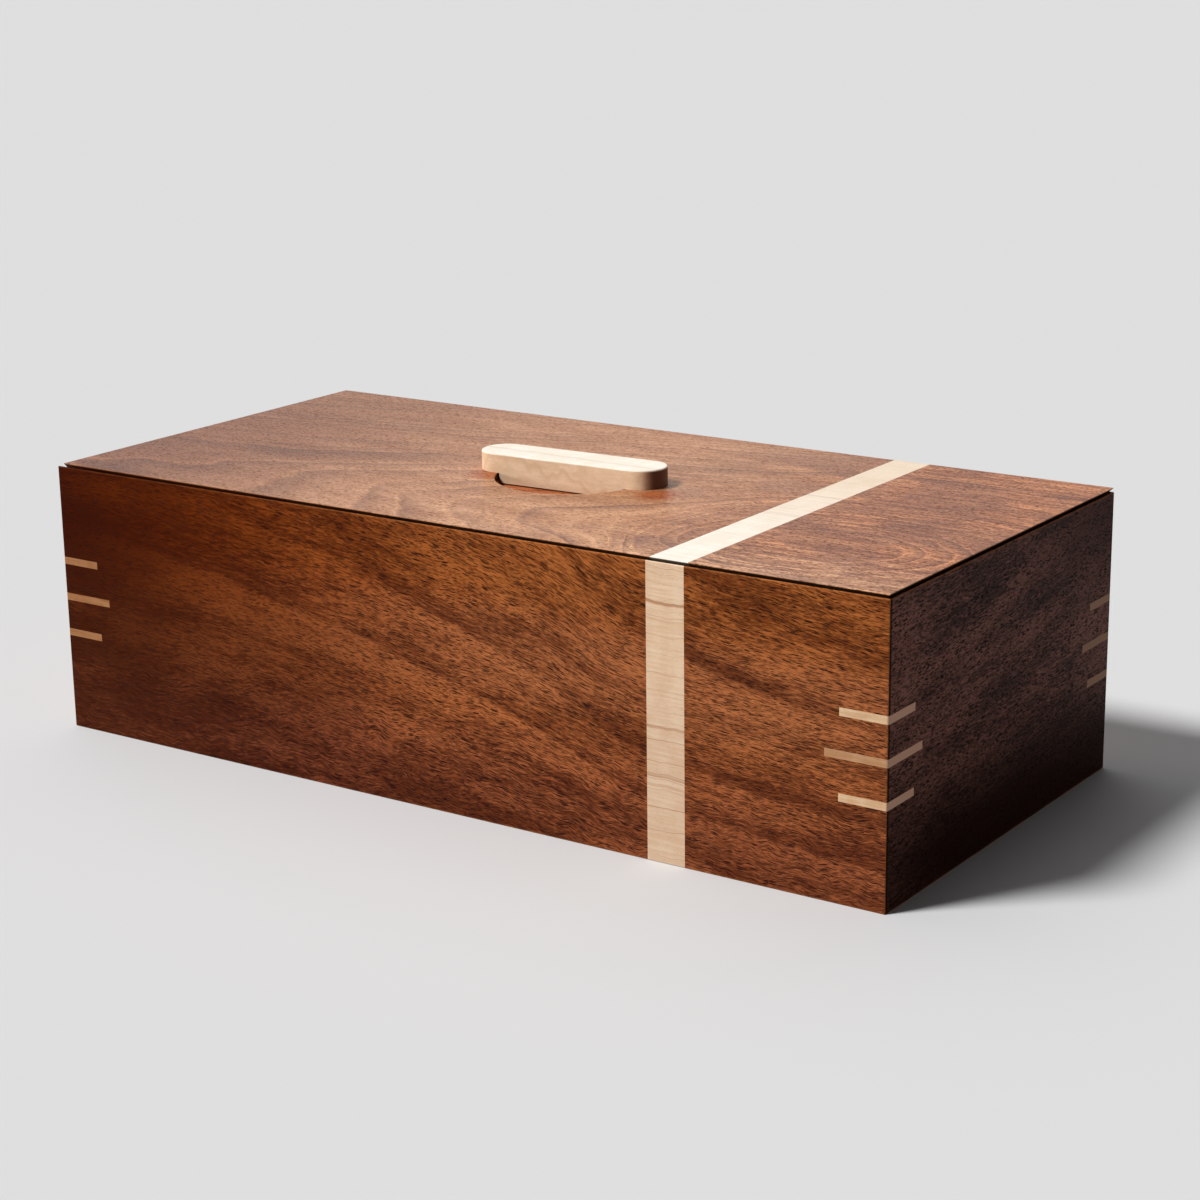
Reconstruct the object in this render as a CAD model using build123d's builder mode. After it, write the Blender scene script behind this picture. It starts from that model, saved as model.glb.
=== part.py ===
from build123d import *
import os

# Sliding-lid box for papers and keepsakes: four mitred walnut walls locked with maple corner
# keys, a bottom panel in a groove, maple inlay bands, and a lid whose bevelled edges run
# between the bevelled tops of the walls. The lid slides out to the left.
#
# Frame: origin at the middle of the base, +X along the length towards the stopped end,
# +Y towards the back, +Z up. Sizes are in millimetres.

os.makedirs("parts", exist_ok=True)

# --- Carcase -------------------------------------------------------------------------
box_length = 407.0        # outside, along X
box_width = 190.0         # outside, along Y
wall_height = 118.0       # table to the top arris of the walls
wall_thickness = 14.0
corner_round = 0.8        # the four outer upright corners
arris_round = 0.35        # outer top and bottom arrises of the walls
arris_flat = 0.6          # flat left on top of a wall, outside its bevel

# --- Bottom panel ----------------------------------------------------------------------
panel_thickness = 6.0
panel_rise = 5.0          # table to the underside of the panel
panel_groove_depth = 6.0
panel_edge_gap = 0.5      # room in the groove for the panel to swell

# --- Corner keys -----------------------------------------------------------------------
key_thickness = 3.2
key_leg = 20.0            # along each face, the upper and lower key of a corner
middle_key_leg = 26.0
key_pitch = 16.2          # from one key of a corner to the next
key_offset = {            # middle key's height over or under half the wall height
    "front_right": -1.6,
    "front_left": 0.8,
    "back_right": -1.1,
    "back_left": 0.2,
}

# --- Inlay bands -----------------------------------------------------------------------
band_width = 16.8
band_depth = 3.0
band_from_end = 94.0      # right end of the box to the middle of the wall bands
lid_band_shift = 1.9      # the lid's band stands this much further right

# --- Lid ---------------------------------------------------------------------------------
lid_thickness = 12.0
lid_stand = 1.7           # lid's top face over the top arris of the walls
lid_edge = 0.3            # upright edge left above the bevel
lid_edge_round = 0.15
lid_side_inset = 0.1      # lid's long edges inside the outer faces of the walls
lid_right_inset = 0.1
lid_left_inset = 4.0      # square end, back from the left face of the box
lid_floor_gap = 0.5       # over the cut-down top of the left wall
lid_end_gap = 0.5         # extra room at the right mitre, along X

# --- Runners -----------------------------------------------------------------------------
runner_thickness = 3.2
runner_in_lid = 5.0
runner_in_wall = 3.4
runner_clearance = 0.35   # each side and at the bottom of the wall groove
runner_up_bevel = 4.9     # foot of the lid's bevel to the middle of the runner
runner_stop = 34.0        # right end of the box to the end of the runners
stop_gap = 1.0

# --- Handle and finger dish ----------------------------------------------------------------
handle_x = 3.2            # middle of the handle and the dish, from the middle of the box
handle_y = -1.0
handle_turn = 2.6         # degrees, right end towards the back
handle_length = 88.0
handle_width = 20.6
handle_rise = 8.2         # over the lid
handle_edge_round = 0.7
dish_radius = 33.0
dish_depth = 4.8
dish_cove = 2.5           # round between the dish's side and its floor
dish_rim_round = 0.5
tongue_gap = 0.8          # handle's tongue to the side of the dish
tongue_lift = 0.6         # handle's tongue to the floor of the dish

# --- Handle screws -------------------------------------------------------------------------
screw_spacing = 36.0
screw_length = 14.0
screw_diameter = 3.5
screw_hole_diameter = 3.9
screw_head_diameter = 7.2
screw_tip = 3.0           # length of the tapered point
slot_width = 0.9
slot_depth = 1.0

# --- Worked out from the above ---------------------------------------------------------------
right = box_length / 2
left = -right
back = box_width / 2
front = -back
inner_length = box_length - 2 * wall_thickness
inner_width = box_width - 2 * wall_thickness
lid_top = wall_height + lid_stand
lid_bottom = lid_top - lid_thickness
lid_left = left + lid_left_inset
lid_right = right - lid_right_inset
lid_half_width = back - lid_side_inset
dish_floor = lid_top - dish_depth
band_x = right - band_from_end
lid_band_x = band_x + lid_band_shift
above = 10.0              # how far a cut runs on past the piece it cuts


def bevelled_slab(top, edge, bottom, half_width, left_end, right_end):
    """Slab with 45-degree undercut long edges and right end, and a square left end."""
    bevel = top - edge - bottom
    with BuildPart() as slab:
        with BuildSketch(Plane.YZ.offset(left_end)):
            with BuildLine():
                Polyline(
                    (-half_width, top),
                    (half_width, top),
                    (half_width, top - edge),
                    (half_width - bevel, bottom),
                    (bevel - half_width, bottom),
                    (-half_width, top - edge),
                    close=True,
                )
            make_face()
        extrude(amount=right_end - left_end)
        with BuildSketch(Plane.XZ):
            with BuildLine():
                Polyline(
                    (left_end, top),
                    (right_end, top),
                    (right_end, top - edge),
                    (right_end - bevel, bottom),
                    (left_end, bottom),
                    close=True,
                )
            make_face()
        extrude(amount=half_width, both=True, mode=Mode.INTERSECT)
    return slab.part


def block(size_x, size_y, low, high, x=0.0, y=0.0):
    """Upright block on a given middle, between two heights."""
    with BuildPart() as body:
        with BuildSketch(Plane.XY.offset(low)):
            with Locations((x, y)):
                Rectangle(size_x, size_y)
        extrude(amount=high - low)
    return body.part


# Outer form of the carcase: every wall, key and wall band ends on it.
with BuildPart() as carcase_form:
    with BuildSketch():
        RectangleRounded(box_length, box_width, corner_round)
    extrude(amount=wall_height)
    rims = carcase_form.faces().sort_by(Axis.Z)
    fillet(rims[0].edges() + rims[-1].edges(), arris_round)

# Room for the lid between the walls, open at the left end of the box.
wall_bevel = wall_thickness - arris_flat
lid_seat = bevelled_slab(
    wall_height + above,
    above,
    wall_height - wall_bevel,
    back - arris_flat,
    left - above,
    right - arris_flat,
)

# The left wall is cut down only as far as the lid needs to pass.
left_wall_top = lid_bottom - lid_floor_gap
lid_doorway = bevelled_slab(
    wall_height + above,
    above,
    left_wall_top,
    back - arris_flat,
    left - above,
    right - arris_flat,
)

panel_groove = block(
    inner_length + 2 * panel_groove_depth,
    inner_width + 2 * panel_groove_depth,
    panel_rise,
    panel_rise + panel_thickness,
)


# --- Bands: one block each, used as the dado and as the strip that fills it -----------------
front_band_space = block(band_width, 2 * band_depth, 0, wall_height, band_x, front)
back_band_space = block(band_width, 2 * band_depth, 0, wall_height, band_x, back)
lid_band_space = block(
    band_width, box_width, lid_top - band_depth, lid_top, lid_band_x
)


# --- Runners: square strips set at right angles into the lid's long bevels ------------------
lid_bevel_foot = lid_half_width - (lid_thickness - lid_edge)
runner_y = lid_bevel_foot + runner_up_bevel / 2**0.5
runner_z = lid_bottom + runner_up_bevel / 2**0.5
runner_right = right - runner_stop
bevel_gap = ((lid_top - lid_edge - lid_half_width) - (wall_height - back + arris_flat)) / 2**0.5


def runner_bar(side, grow, reach_up, reach_down, x_from, x_to):
    """Strip across the bevel joint on one side: reach_up into the lid, reach_down out of it."""
    across = Plane(
        origin=(x_from, side * runner_y, runner_z),
        x_dir=(0, side, -1),
        z_dir=(1, 0, 0),
    )
    with BuildPart() as bar:
        with BuildSketch(across):
            with Locations(((reach_down - reach_up) / 2, 0)):
                Rectangle(reach_up + reach_down, runner_thickness + 2 * grow)
        extrude(amount=x_to - x_from)
    return bar.part


def wall_runner_groove(side):
    depth = bevel_gap + runner_in_wall + runner_clearance
    return runner_bar(side, runner_clearance, above / 2, depth, left - above, runner_right + stop_gap)


# --- Corner keys ------------------------------------------------------------------------------
corners = {
    "front_right": (right, front),
    "front_left": (left, front),
    "back_right": (right, back),
    "back_left": (left, back),
}


def corner_key(corner, height, leg):
    """Flat triangle across one corner, trimmed to the outer form of the carcase."""
    x, y = corners[corner]
    inward_x = -leg if x > 0 else leg
    inward_y = -leg if y > 0 else leg
    with BuildPart() as key:
        with BuildSketch(Plane.XY.offset(height - key_thickness / 2)):
            with BuildLine():
                Polyline((x, y), (x + inward_x, y), (x, y + inward_y), close=True)
            make_face()
        extrude(amount=key_thickness)
        add(carcase_form.part, mode=Mode.INTERSECT)
    return key.part


corner_keys = {}
for corner, offset in key_offset.items():
    middle = wall_height / 2 + offset
    corner_keys[f"key_{corner}_upper"] = corner_key(corner, middle + key_pitch, key_leg)
    corner_keys[f"key_{corner}_middle"] = corner_key(corner, middle, middle_key_leg)
    corner_keys[f"key_{corner}_lower"] = corner_key(corner, middle - key_pitch, key_leg)


# --- Walls ----------------------------------------------------------------------------------
def wall_blank(outer_start, outer_end, inner_end, inner_start):
    """Mitred wall, grooved for the bottom panel and kerfed for the corner keys."""
    with BuildPart() as blank:
        with BuildSketch():
            with BuildLine():
                Polyline(outer_start, outer_end, inner_end, inner_start, close=True)
            make_face()
        extrude(amount=wall_height)
        add(carcase_form.part, mode=Mode.INTERSECT)
        add(panel_groove, mode=Mode.SUBTRACT)
        add(list(corner_keys.values()), mode=Mode.SUBTRACT)
    return blank.part


in_right = right - wall_thickness
in_left = left + wall_thickness
in_back = back - wall_thickness
in_front = front + wall_thickness

with BuildPart() as front_wall:
    add(wall_blank((left, front), (right, front), (in_right, in_front), (in_left, in_front)))
    add(lid_seat, mode=Mode.SUBTRACT)
    add(wall_runner_groove(-1), mode=Mode.SUBTRACT)
    add(front_band_space, mode=Mode.SUBTRACT)

with BuildPart() as back_wall:
    add(wall_blank((right, back), (left, back), (in_left, in_back), (in_right, in_back)))
    add(lid_seat, mode=Mode.SUBTRACT)
    add(wall_runner_groove(1), mode=Mode.SUBTRACT)
    add(back_band_space, mode=Mode.SUBTRACT)

with BuildPart() as right_end_wall:
    add(wall_blank((right, front), (right, back), (in_right, in_back), (in_right, in_front)))
    add(lid_seat, mode=Mode.SUBTRACT)

with BuildPart() as left_end_wall:
    add(wall_blank((left, back), (left, front), (in_left, in_front), (in_left, in_back)))
    add(lid_doorway, mode=Mode.SUBTRACT)
    add(wall_runner_groove(-1), mode=Mode.SUBTRACT)
    add(wall_runner_groove(1), mode=Mode.SUBTRACT)

with BuildPart() as bottom_panel:
    with BuildSketch(Plane.XY.offset(panel_rise)):
        Rectangle(
            inner_length + 2 * (panel_groove_depth - panel_edge_gap),
            inner_width + 2 * (panel_groove_depth - panel_edge_gap),
        )
    extrude(amount=panel_thickness)

# The wall bands are as long as the wall is high, and bevelled with it.
with BuildPart() as front_band:
    add(front_band_space)
    add(carcase_form.part, mode=Mode.INTERSECT)
    add(lid_seat, mode=Mode.SUBTRACT)

with BuildPart() as back_band:
    add(back_band_space)
    add(carcase_form.part, mode=Mode.INTERSECT)
    add(lid_seat, mode=Mode.SUBTRACT)


# --- Lid ------------------------------------------------------------------------------------
with BuildPart() as lid_form:
    add(
        bevelled_slab(
            lid_top,
            lid_edge,
            lid_bottom,
            lid_half_width,
            lid_left,
            lid_right - lid_end_gap,
        )
    )
    fillet(lid_form.faces().sort_by(Axis.Z)[-1].edges(), lid_edge_round)

handle_plane = Plane(Location((handle_x, handle_y, 0), (0, 0, handle_turn)))

# Round finger dish with a coved side.
with BuildPart() as dish_form:
    with BuildSketch(handle_plane.offset(dish_floor)):
        Circle(dish_radius)
    extrude(amount=dish_depth)
    fillet(dish_form.faces().sort_by(Axis.Z)[0].edges(), dish_cove)


def runner(side):
    beyond = bevel_gap + runner_in_wall
    return runner_bar(side, 0, runner_in_lid, beyond, lid_left, runner_right)


screw_step = Vector(screw_spacing / 2, 0).rotate(Axis.Z, handle_turn)
screw_places = [
    (handle_x - screw_step.X, handle_y - screw_step.Y),
    (handle_x + screw_step.X, handle_y + screw_step.Y),
]
screw_head_height = (screw_head_diameter - screw_diameter) / 2

with BuildPart() as lid_panel:
    add(lid_form.part)
    add(lid_band_space, mode=Mode.SUBTRACT)
    add(runner(-1), mode=Mode.SUBTRACT)
    add(runner(1), mode=Mode.SUBTRACT)
    add(dish_form.part, mode=Mode.SUBTRACT)
    rim = lid_panel.edges().filter_by(GeomType.CIRCLE)
    rim = rim.filter_by(lambda edge: abs(edge.radius - dish_radius) < 0.01).sort_by(Axis.Z)[-1]
    fillet(rim, dish_rim_round)
    with BuildSketch(Plane.XY.offset(lid_bottom)):
        with Locations(*screw_places):
            Circle(screw_hole_diameter / 2)
    extrude(amount=dish_floor - lid_bottom, mode=Mode.SUBTRACT)
    with Locations(*[(x, y, lid_bottom + screw_head_height / 2) for x, y in screw_places]):
        Cone(
            screw_head_diameter / 2,
            screw_diameter / 2,
            screw_head_height,
            mode=Mode.SUBTRACT,
        )

with BuildPart() as lid_band:
    add(lid_band_space)
    add(lid_form.part, mode=Mode.INTERSECT)

with BuildPart() as front_runner:
    add(runner(-1))

with BuildPart() as back_runner:
    add(runner(1))

# The handle bridges the dish: its ends lie on the lid, its tongue hangs just over the dish's floor.
tongue_height = dish_depth - tongue_lift
with BuildPart() as handle:
    with BuildSketch(handle_plane.offset(lid_top - tongue_height)):
        Circle(dish_radius - tongue_gap)
    extrude(amount=tongue_height)
    fillet(handle.faces().sort_by(Axis.Z)[0].edges(), dish_cove)
    with BuildSketch(handle_plane.offset(lid_top - tongue_height)):
        Rectangle(2 * dish_radius, handle_width)
    extrude(amount=tongue_height, mode=Mode.INTERSECT)
    with BuildSketch(handle_plane.offset(lid_top)):
        SlotOverall(handle_length, handle_width)
    extrude(amount=handle_rise)
    fillet(handle.faces().sort_by(Axis.Z)[-1].edges(), handle_edge_round)
    with BuildSketch(Plane.XY.offset(dish_floor)):
        with Locations(*screw_places):
            Circle(screw_diameter / 2)
    extrude(amount=lid_bottom + screw_length - screw_tip - dish_floor, mode=Mode.SUBTRACT)
    with Locations(*[(x, y, lid_bottom + screw_length - screw_tip / 2) for x, y in screw_places]):
        Cone(screw_diameter / 2, screw_diameter / 8, screw_tip, mode=Mode.SUBTRACT)

# Two countersunk wood screws, driven up from under the lid.
with BuildPart() as handle_screws:
    with Locations(*[(x, y, lid_bottom + screw_head_height / 2) for x, y in screw_places]):
        Cone(screw_head_diameter / 2, screw_diameter / 2, screw_head_height)
    with BuildSketch(Plane.XY.offset(lid_bottom + screw_head_height)):
        with Locations(*screw_places):
            Circle(screw_diameter / 2)
    extrude(amount=screw_length - screw_head_height - screw_tip)
    with Locations(*[(x, y, lid_bottom + screw_length - screw_tip / 2) for x, y in screw_places]):
        Cone(screw_diameter / 2, screw_diameter / 8, screw_tip)
    with BuildSketch(Plane.XY.offset(lid_bottom)):
        with Locations(*screw_places):
            Rectangle(screw_head_diameter, slot_width)
    extrude(amount=slot_depth, mode=Mode.SUBTRACT)


# --- Export -----------------------------------------------------------------------------------
pieces = {
    "front_wall": front_wall.part,
    "back_wall": back_wall.part,
    "left_end_wall": left_end_wall.part,
    "right_end_wall": right_end_wall.part,
    "bottom_panel": bottom_panel.part,
    "front_band": front_band.part,
    "back_band": back_band.part,
    "lid_panel": lid_panel.part,
    "lid_band": lid_band.part,
    "front_runner": front_runner.part,
    "back_runner": back_runner.part,
    "handle": handle.part,
    "handle_screws": handle_screws.part,
}
pieces.update(corner_keys)

for name, piece in pieces.items():
    piece.label = name
    export_step(piece, f"parts/{name}.step")
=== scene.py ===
# %% [markdown]
# # A walnut box with a sliding lid
#
# This lesson dresses a wooden box for papers and keepsakes. The construction already exists:
# every board, band, corner key and screw comes in as a solid of its own from the CAD frame, at
# its real size and in its real place. What is left for Blender is what the eye sees first: walnut
# with its pores and growth rings, pale maple, a little brass, soft light and the right point of
# view.

# %% Load the frame
import math

import bpy
from mathutils import Matrix, Vector


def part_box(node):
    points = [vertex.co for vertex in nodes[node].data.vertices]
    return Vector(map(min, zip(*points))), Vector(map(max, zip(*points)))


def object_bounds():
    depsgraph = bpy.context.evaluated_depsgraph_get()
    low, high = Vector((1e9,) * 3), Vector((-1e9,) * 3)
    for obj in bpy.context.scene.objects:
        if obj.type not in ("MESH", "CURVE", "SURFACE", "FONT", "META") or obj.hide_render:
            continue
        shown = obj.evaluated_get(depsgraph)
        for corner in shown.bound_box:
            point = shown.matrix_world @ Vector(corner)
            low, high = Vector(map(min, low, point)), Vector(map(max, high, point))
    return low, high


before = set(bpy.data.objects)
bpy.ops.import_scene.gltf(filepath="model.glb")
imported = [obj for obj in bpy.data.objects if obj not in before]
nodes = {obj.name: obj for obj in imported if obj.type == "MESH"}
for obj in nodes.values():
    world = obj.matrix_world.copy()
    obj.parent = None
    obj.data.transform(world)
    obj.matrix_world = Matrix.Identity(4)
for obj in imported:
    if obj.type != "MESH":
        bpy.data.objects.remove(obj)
cad_low, cad_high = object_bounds()
MM = 1000.0
print("CAD nodes:", len(nodes), "box in mm:", [round(MM * size) for size in cad_high - cad_low])

# %% [markdown]
# ## Point of view
#
# A camera is easiest to reason about as a place on a sphere round the thing that it looks at: how
# far round, how far up, how far away, and how much the camera is tilted about its own line of
# sight. Track-To constraints would do the aiming too, but a matrix built from three axes says
# exactly where everything is and needs no extra object.

# %% Camera
AIM = Vector((0.01504, 0.0, 0.0674))
AZIMUTH = math.radians(34.604)
ELEVATION = math.radians(15.632)
TILT = math.radians(-0.767)
DISTANCE = 1.10468
LENS_MM = 78.744
SENSOR_MM = 36.0

back_axis = Vector(
    (
        math.sin(AZIMUTH) * math.cos(ELEVATION),
        -math.cos(AZIMUTH) * math.cos(ELEVATION),
        math.sin(ELEVATION),
    )
)
level_right = Vector((math.cos(AZIMUTH), math.sin(AZIMUTH), 0.0))
level_up = back_axis.cross(level_right)
right_axis = math.cos(TILT) * level_right + math.sin(TILT) * level_up
up_axis = math.cos(TILT) * level_up - math.sin(TILT) * level_right

camera_data = bpy.data.cameras.new("studio_camera")
camera_data.lens = LENS_MM
camera_data.sensor_width = SENSOR_MM
camera_data.clip_end = 200.0
camera = bpy.data.objects.new("studio_camera", camera_data)
bpy.context.scene.collection.objects.link(camera)
camera.matrix_world = Matrix.Translation(AIM + DISTANCE * back_axis) @ Matrix(
    (right_axis, up_axis, back_axis)
).transposed().to_4x4()
bpy.context.scene.camera = camera
print("camera at", [round(value, 3) for value in camera.location])

# %% [markdown]
# ## Wiring nodes by hand
#
# Wood needs a lot of small nodes, and drawn in the node editor they are soon a thicket. This
# helper keeps the wiring readable: every input may be given either as a plain value or as another
# node's output, and each call gives back an output that the next call can use. The commonest sums
# have names of their own, so that a formula reads like a sentence.


# %% A small node helper
class Wiring:
    """Adds nodes to one node tree and joins them."""

    def __init__(self, tree):
        self.tree = tree

    def feed(self, socket, value):
        if isinstance(value, bpy.types.NodeSocket):
            self.tree.links.new(value, socket)
        else:
            socket.default_value = value

    def add(self, kind, inputs=None, **settings):
        node = self.tree.nodes.new(kind)
        for name, value in settings.items():
            setattr(node, name, value)
        for key, value in (inputs or {}).items():
            self.feed(node.inputs[key], value)
        return node

    def math(self, operation, first, second=0.0, clamp=False):
        inputs = {0: first, 1: second}
        return self.add("ShaderNodeMath", inputs, operation=operation, use_clamp=clamp).outputs[0]

    def times(self, first, second, clamp=False):
        return self.math("MULTIPLY", first, second, clamp)

    def plus(self, first, second):
        return self.math("ADD", first, second)

    def minus(self, first, second):
        return self.math("SUBTRACT", first, second)

    def larger(self, first, second):
        return self.math("MAXIMUM", first, second)

    def vector_math(self, operation, first, second):
        inputs = {0: first, 1: second}
        return self.add("ShaderNodeVectorMath", inputs, operation=operation).outputs[0]

    def parts(self, vector):
        return self.add("ShaderNodeSeparateXYZ", {0: vector}).outputs

    def vector(self, x, y, z):
        return self.add("ShaderNodeCombineXYZ", {0: x, 1: y, 2: z}).outputs[0]

    def smooth(self, value, low, high, to_low=0.0, to_high=1.0):
        """Goes softly from to_low to to_high while value goes from low to high."""
        inputs = {0: value, 1: low, 2: high, 3: to_low, 4: to_high}
        return self.add("ShaderNodeMapRange", inputs, interpolation_type="SMOOTHSTEP").outputs[0]

    def mix(self, share, first, second, blend="MIX"):
        node = self.add("ShaderNodeMix", {0: share}, data_type="RGBA", blend_type=blend)
        self.feed(node.inputs[6], first)
        self.feed(node.inputs[7], second)
        return node.outputs[2]

    def noise(self, vector, scale, detail, roughness):
        inputs = {"Vector": vector, "Scale": scale, "Detail": detail, "Roughness": roughness}
        return self.add("ShaderNodeTexNoise", inputs).outputs[0]

    def stretched_noise(self, vector, waves, detail, roughness):
        """Noise with so many waves to the unit along each of the three axes."""
        return self.noise(self.vector_math("MULTIPLY", vector, waves), 1.0, detail, roughness)

    def place(self, group, inputs):
        node = self.tree.nodes.new("ShaderNodeGroup")
        node.node_tree = group
        for name, value in inputs.items():
            self.feed(node.inputs[name], value)
        return node.outputs


print("the helper can:", ", ".join(name for name in vars(Wiring) if not name.startswith("_")))

# %% [markdown]
# ## Recipes with named sockets
#
# What several materials share goes into a node group, a recipe with named inputs and outputs.
# Made once, it serves every board, and a change to it shows on all of them. Its sockets are
# declared first, with the value that most boards use, and only then can anything be wired to
# them.


# %% Starting a group
def start_group(name, inputs, outputs):
    """New group with named sockets: (name, kind, value) for inputs, (name, kind) for outputs."""
    tree = bpy.data.node_groups.new(name, "ShaderNodeTree")
    for label, kind, value in inputs:
        socket = tree.interface.new_socket(label, in_out="INPUT", socket_type="NodeSocket" + kind)
        if kind != "Vector":
            socket.default_value = value
    for label, kind in outputs:
        tree.interface.new_socket(label, in_out="OUTPUT", socket_type="NodeSocket" + kind)
    wiring = Wiring(tree)
    return wiring, wiring.add("NodeGroupInput").outputs, wiring.add("NodeGroupOutput").inputs


print("groups so far:", len(bpy.data.node_groups))

# %% [markdown]
# ## Vessel lines
#
# Walnut is an open-pored wood. Its vessels are cut lengthwise where a board is planed, and each
# one shows as a short dark dash, a few millimetres long and about half a millimetre wide.
# Stretched noise makes blotches that run together. Cells do better: space is divided into long
# cells, every cell holds one spot at a place of its own, and what lies near the spot is vessel.
# On a face the spots come out as dashes and on end grain as dots, as on the real board.

# %% Group: vessel lines
vessels, given, result = start_group(
    "Vessel lines",
    [
        ("Vector", "Vector", None),
        ("Length", "Float", 5.0),
        ("Spacing", "Float", 0.8),
        ("Size", "Float", 0.3),
        ("Coverage", "Float", 0.8),
    ],
    [("Mask", "Float")],
)
x, y, z = vessels.parts(given["Vector"])
stretched = vessels.vector(
    vessels.math("DIVIDE", x, given["Length"]),
    vessels.math("DIVIDE", y, given["Spacing"]),
    vessels.math("DIVIDE", z, given["Spacing"]),
)
cells = vessels.add("ShaderNodeTexVoronoi", {"Vector": stretched, "Scale": 1.0}).outputs
luck, width_luck, depth_luck = vessels.parts(cells["Color"])
radius = vessels.times(given["Size"], vessels.smooth(width_luck, 0.0, 1.0, 0.65, 1.25))
inside = vessels.smooth(vessels.math("DIVIDE", cells["Distance"], radius), 1.15, 0.7)
present = vessels.math("LESS_THAN", luck, given["Coverage"])
darkness = vessels.smooth(depth_luck, 0.0, 1.0, 0.55, 1.0)
vessels.feed(result["Mask"], vessels.times(vessels.times(inside, present), darkness))
print("group:", vessels.tree.name)

# %% [markdown]
# ## Growth rings
#
# A ring starts pale in spring and ends in a narrow dark line in autumn, and then the next pale
# one starts at once. So a ring is a sawtooth, not a wave: it darkens slowly and breaks off
# sharply. The group takes the distance across the rings in millimetres, whatever shape they have
# on the board, and gives the dark late wood and the thin pale line that follows it.

# %% Group: growth rings
UNEVEN_YEARS = 2.4
WEAKEST_YEAR = 0.35

rings, given, result = start_group(
    "Growth rings",
    [("Distance", "Float", 0.0), ("Period", "Float", 8.0)],
    [("Late Wood", "Float"), ("Pale Line", "Float")],
)
age = rings.math("DIVIDE", given["Distance"], given["Period"])
slow = {"W": age, "Scale": 0.45, "Detail": 1.0}
uneven = rings.add("ShaderNodeTexNoise", slow, noise_dimensions="1D").outputs[0]
age = rings.plus(age, rings.times(uneven, UNEVEN_YEARS))
season = rings.math("FRACT", age)
year = rings.math("FLOOR", age)
strength = rings.add("ShaderNodeTexWhiteNoise", {"W": year}, noise_dimensions="1D").outputs[0]
strength = rings.plus(rings.times(strength, 1.0 - WEAKEST_YEAR), WEAKEST_YEAR)
late = rings.math("POWER", season, 2.0)
late = rings.times(late, rings.smooth(season, 1.0, 0.88))
rings.feed(result["Late Wood"], rings.times(late, strength))
rings.feed(result["Pale Line"], rings.times(rings.smooth(season, 0.16, 0.02), strength))
print("group:", rings.tree.name)

# %% [markdown]
# ## Rubbed arrises
#
# Hands polish the corners of a box first. Every outer arris is where two of the outer faces meet,
# so nearness to two faces at once finds them all. Edge detection by a bevel shader would do the
# same more slowly, and it is lost when a model leaves Blender.

# %% Group: rubbed arris
arris, given, result = start_group(
    "Rubbed arris",
    [
        ("Vector", "Vector", None),
        ("Half Length", "Float", 203.5),
        ("Half Width", "Float", 95.0),
        ("Top", "Float", 118.0),
        ("Reach", "Float", 0.8),
    ],
    [("Mask", "Float")],
)
x, y, z = arris.parts(given["Vector"])


def near(distance):
    return arris.smooth(arris.math("DIVIDE", distance, given["Reach"]), 1.0, 0.2)


near_end = near(arris.minus(given["Half Length"], arris.math("ABSOLUTE", x)))
near_side = near(arris.minus(given["Half Width"], arris.math("ABSOLUTE", y)))
near_top = near(arris.minus(given["Top"], z))
near_foot = near(z)
level = arris.larger(near_top, near_foot)
wear_and_shade = arris.times(near_end, near_side)
wear_and_shade = arris.larger(wear_and_shade, arris.times(near_end, level))
wear_and_shade = arris.larger(wear_and_shade, arris.times(near_side, level))
uneven = arris.smooth(arris.noise(given["Vector"], 0.12, 2.0, 0.6), 0.35, 0.65, 0.35, 1.0)
arris.feed(result["Mask"], arris.times(wear_and_shade, uneven))
print("group:", arris.tree.name)

# %% [markdown] ## Walnut  All the walnut boards share one recipe: a base that drifts between
# light and dark fibres, growth rings laid over it, a deeper purple-brown where the heartwood is
# oldest, and the vessels on top. The boards differ only in what is fed in: which way the grain
# runs, what shape the rings have on that board, and how light or dark the figure is from place to
# place.

# %% Walnut: the sockets
walnut, given, result = start_group(
    "Walnut",
    [
        ("Vector", "Vector", None),
        ("Figure", "Float", 0.0),
        ("Darkest Tone", "Float", 0.39),
        ("Lightest Tone", "Float", 0.61),
        ("Ring Distance", "Float", 0.0),
        ("Ring Period", "Float", 8.0),
        ("Ring Depth", "Float", 0.6),
        ("Pale Depth", "Float", 0.8),
        ("Heart", "Float", 0.0),
        ("Vessel Length", "Float", 4.8),
        ("Vessel Spacing", "Float", 0.60),
        ("Vessel Size", "Float", 0.39),
        ("Vessel Coverage", "Float", 0.95),
        ("Vessel Depth", "Float", 0.95),
        ("Roughness", "Float", 0.42),
        ("Light Color", "Color", (0.50, 0.155, 0.046, 1.0)),
        ("Mid Color", "Color", (0.18, 0.046, 0.013, 1.0)),
        ("Late Color", "Color", (0.095, 0.022, 0.007, 1.0)),
        ("Heart Color", "Color", (0.055, 0.010, 0.0015, 1.0)),
        ("Vessel Color", "Color", (0.022, 0.006, 0.004, 1.0)),
    ],
    [("Color", "Color"), ("Roughness", "Float"), ("Height", "Float")],
)
print("walnut has", len(walnut.tree.interface.items_tree), "sockets")

# %% [markdown]
# ## Fibres and clouds
#
# Under its figure every board drifts between lighter and darker fibres, fine across the grain and
# long with it, and more slowly in wide clouds. Straight fibres look ruled, so the grain is bent a
# little to and fro first. The figure that a board brings along joins the same sum before the sum
# is turned into colour, so a dark band still has lighter fibres in it.

# %% Walnut: fibres and clouds
GRAIN_BEND_MM = 5.0
FIGURE_WEIGHT = 0.11

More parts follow.
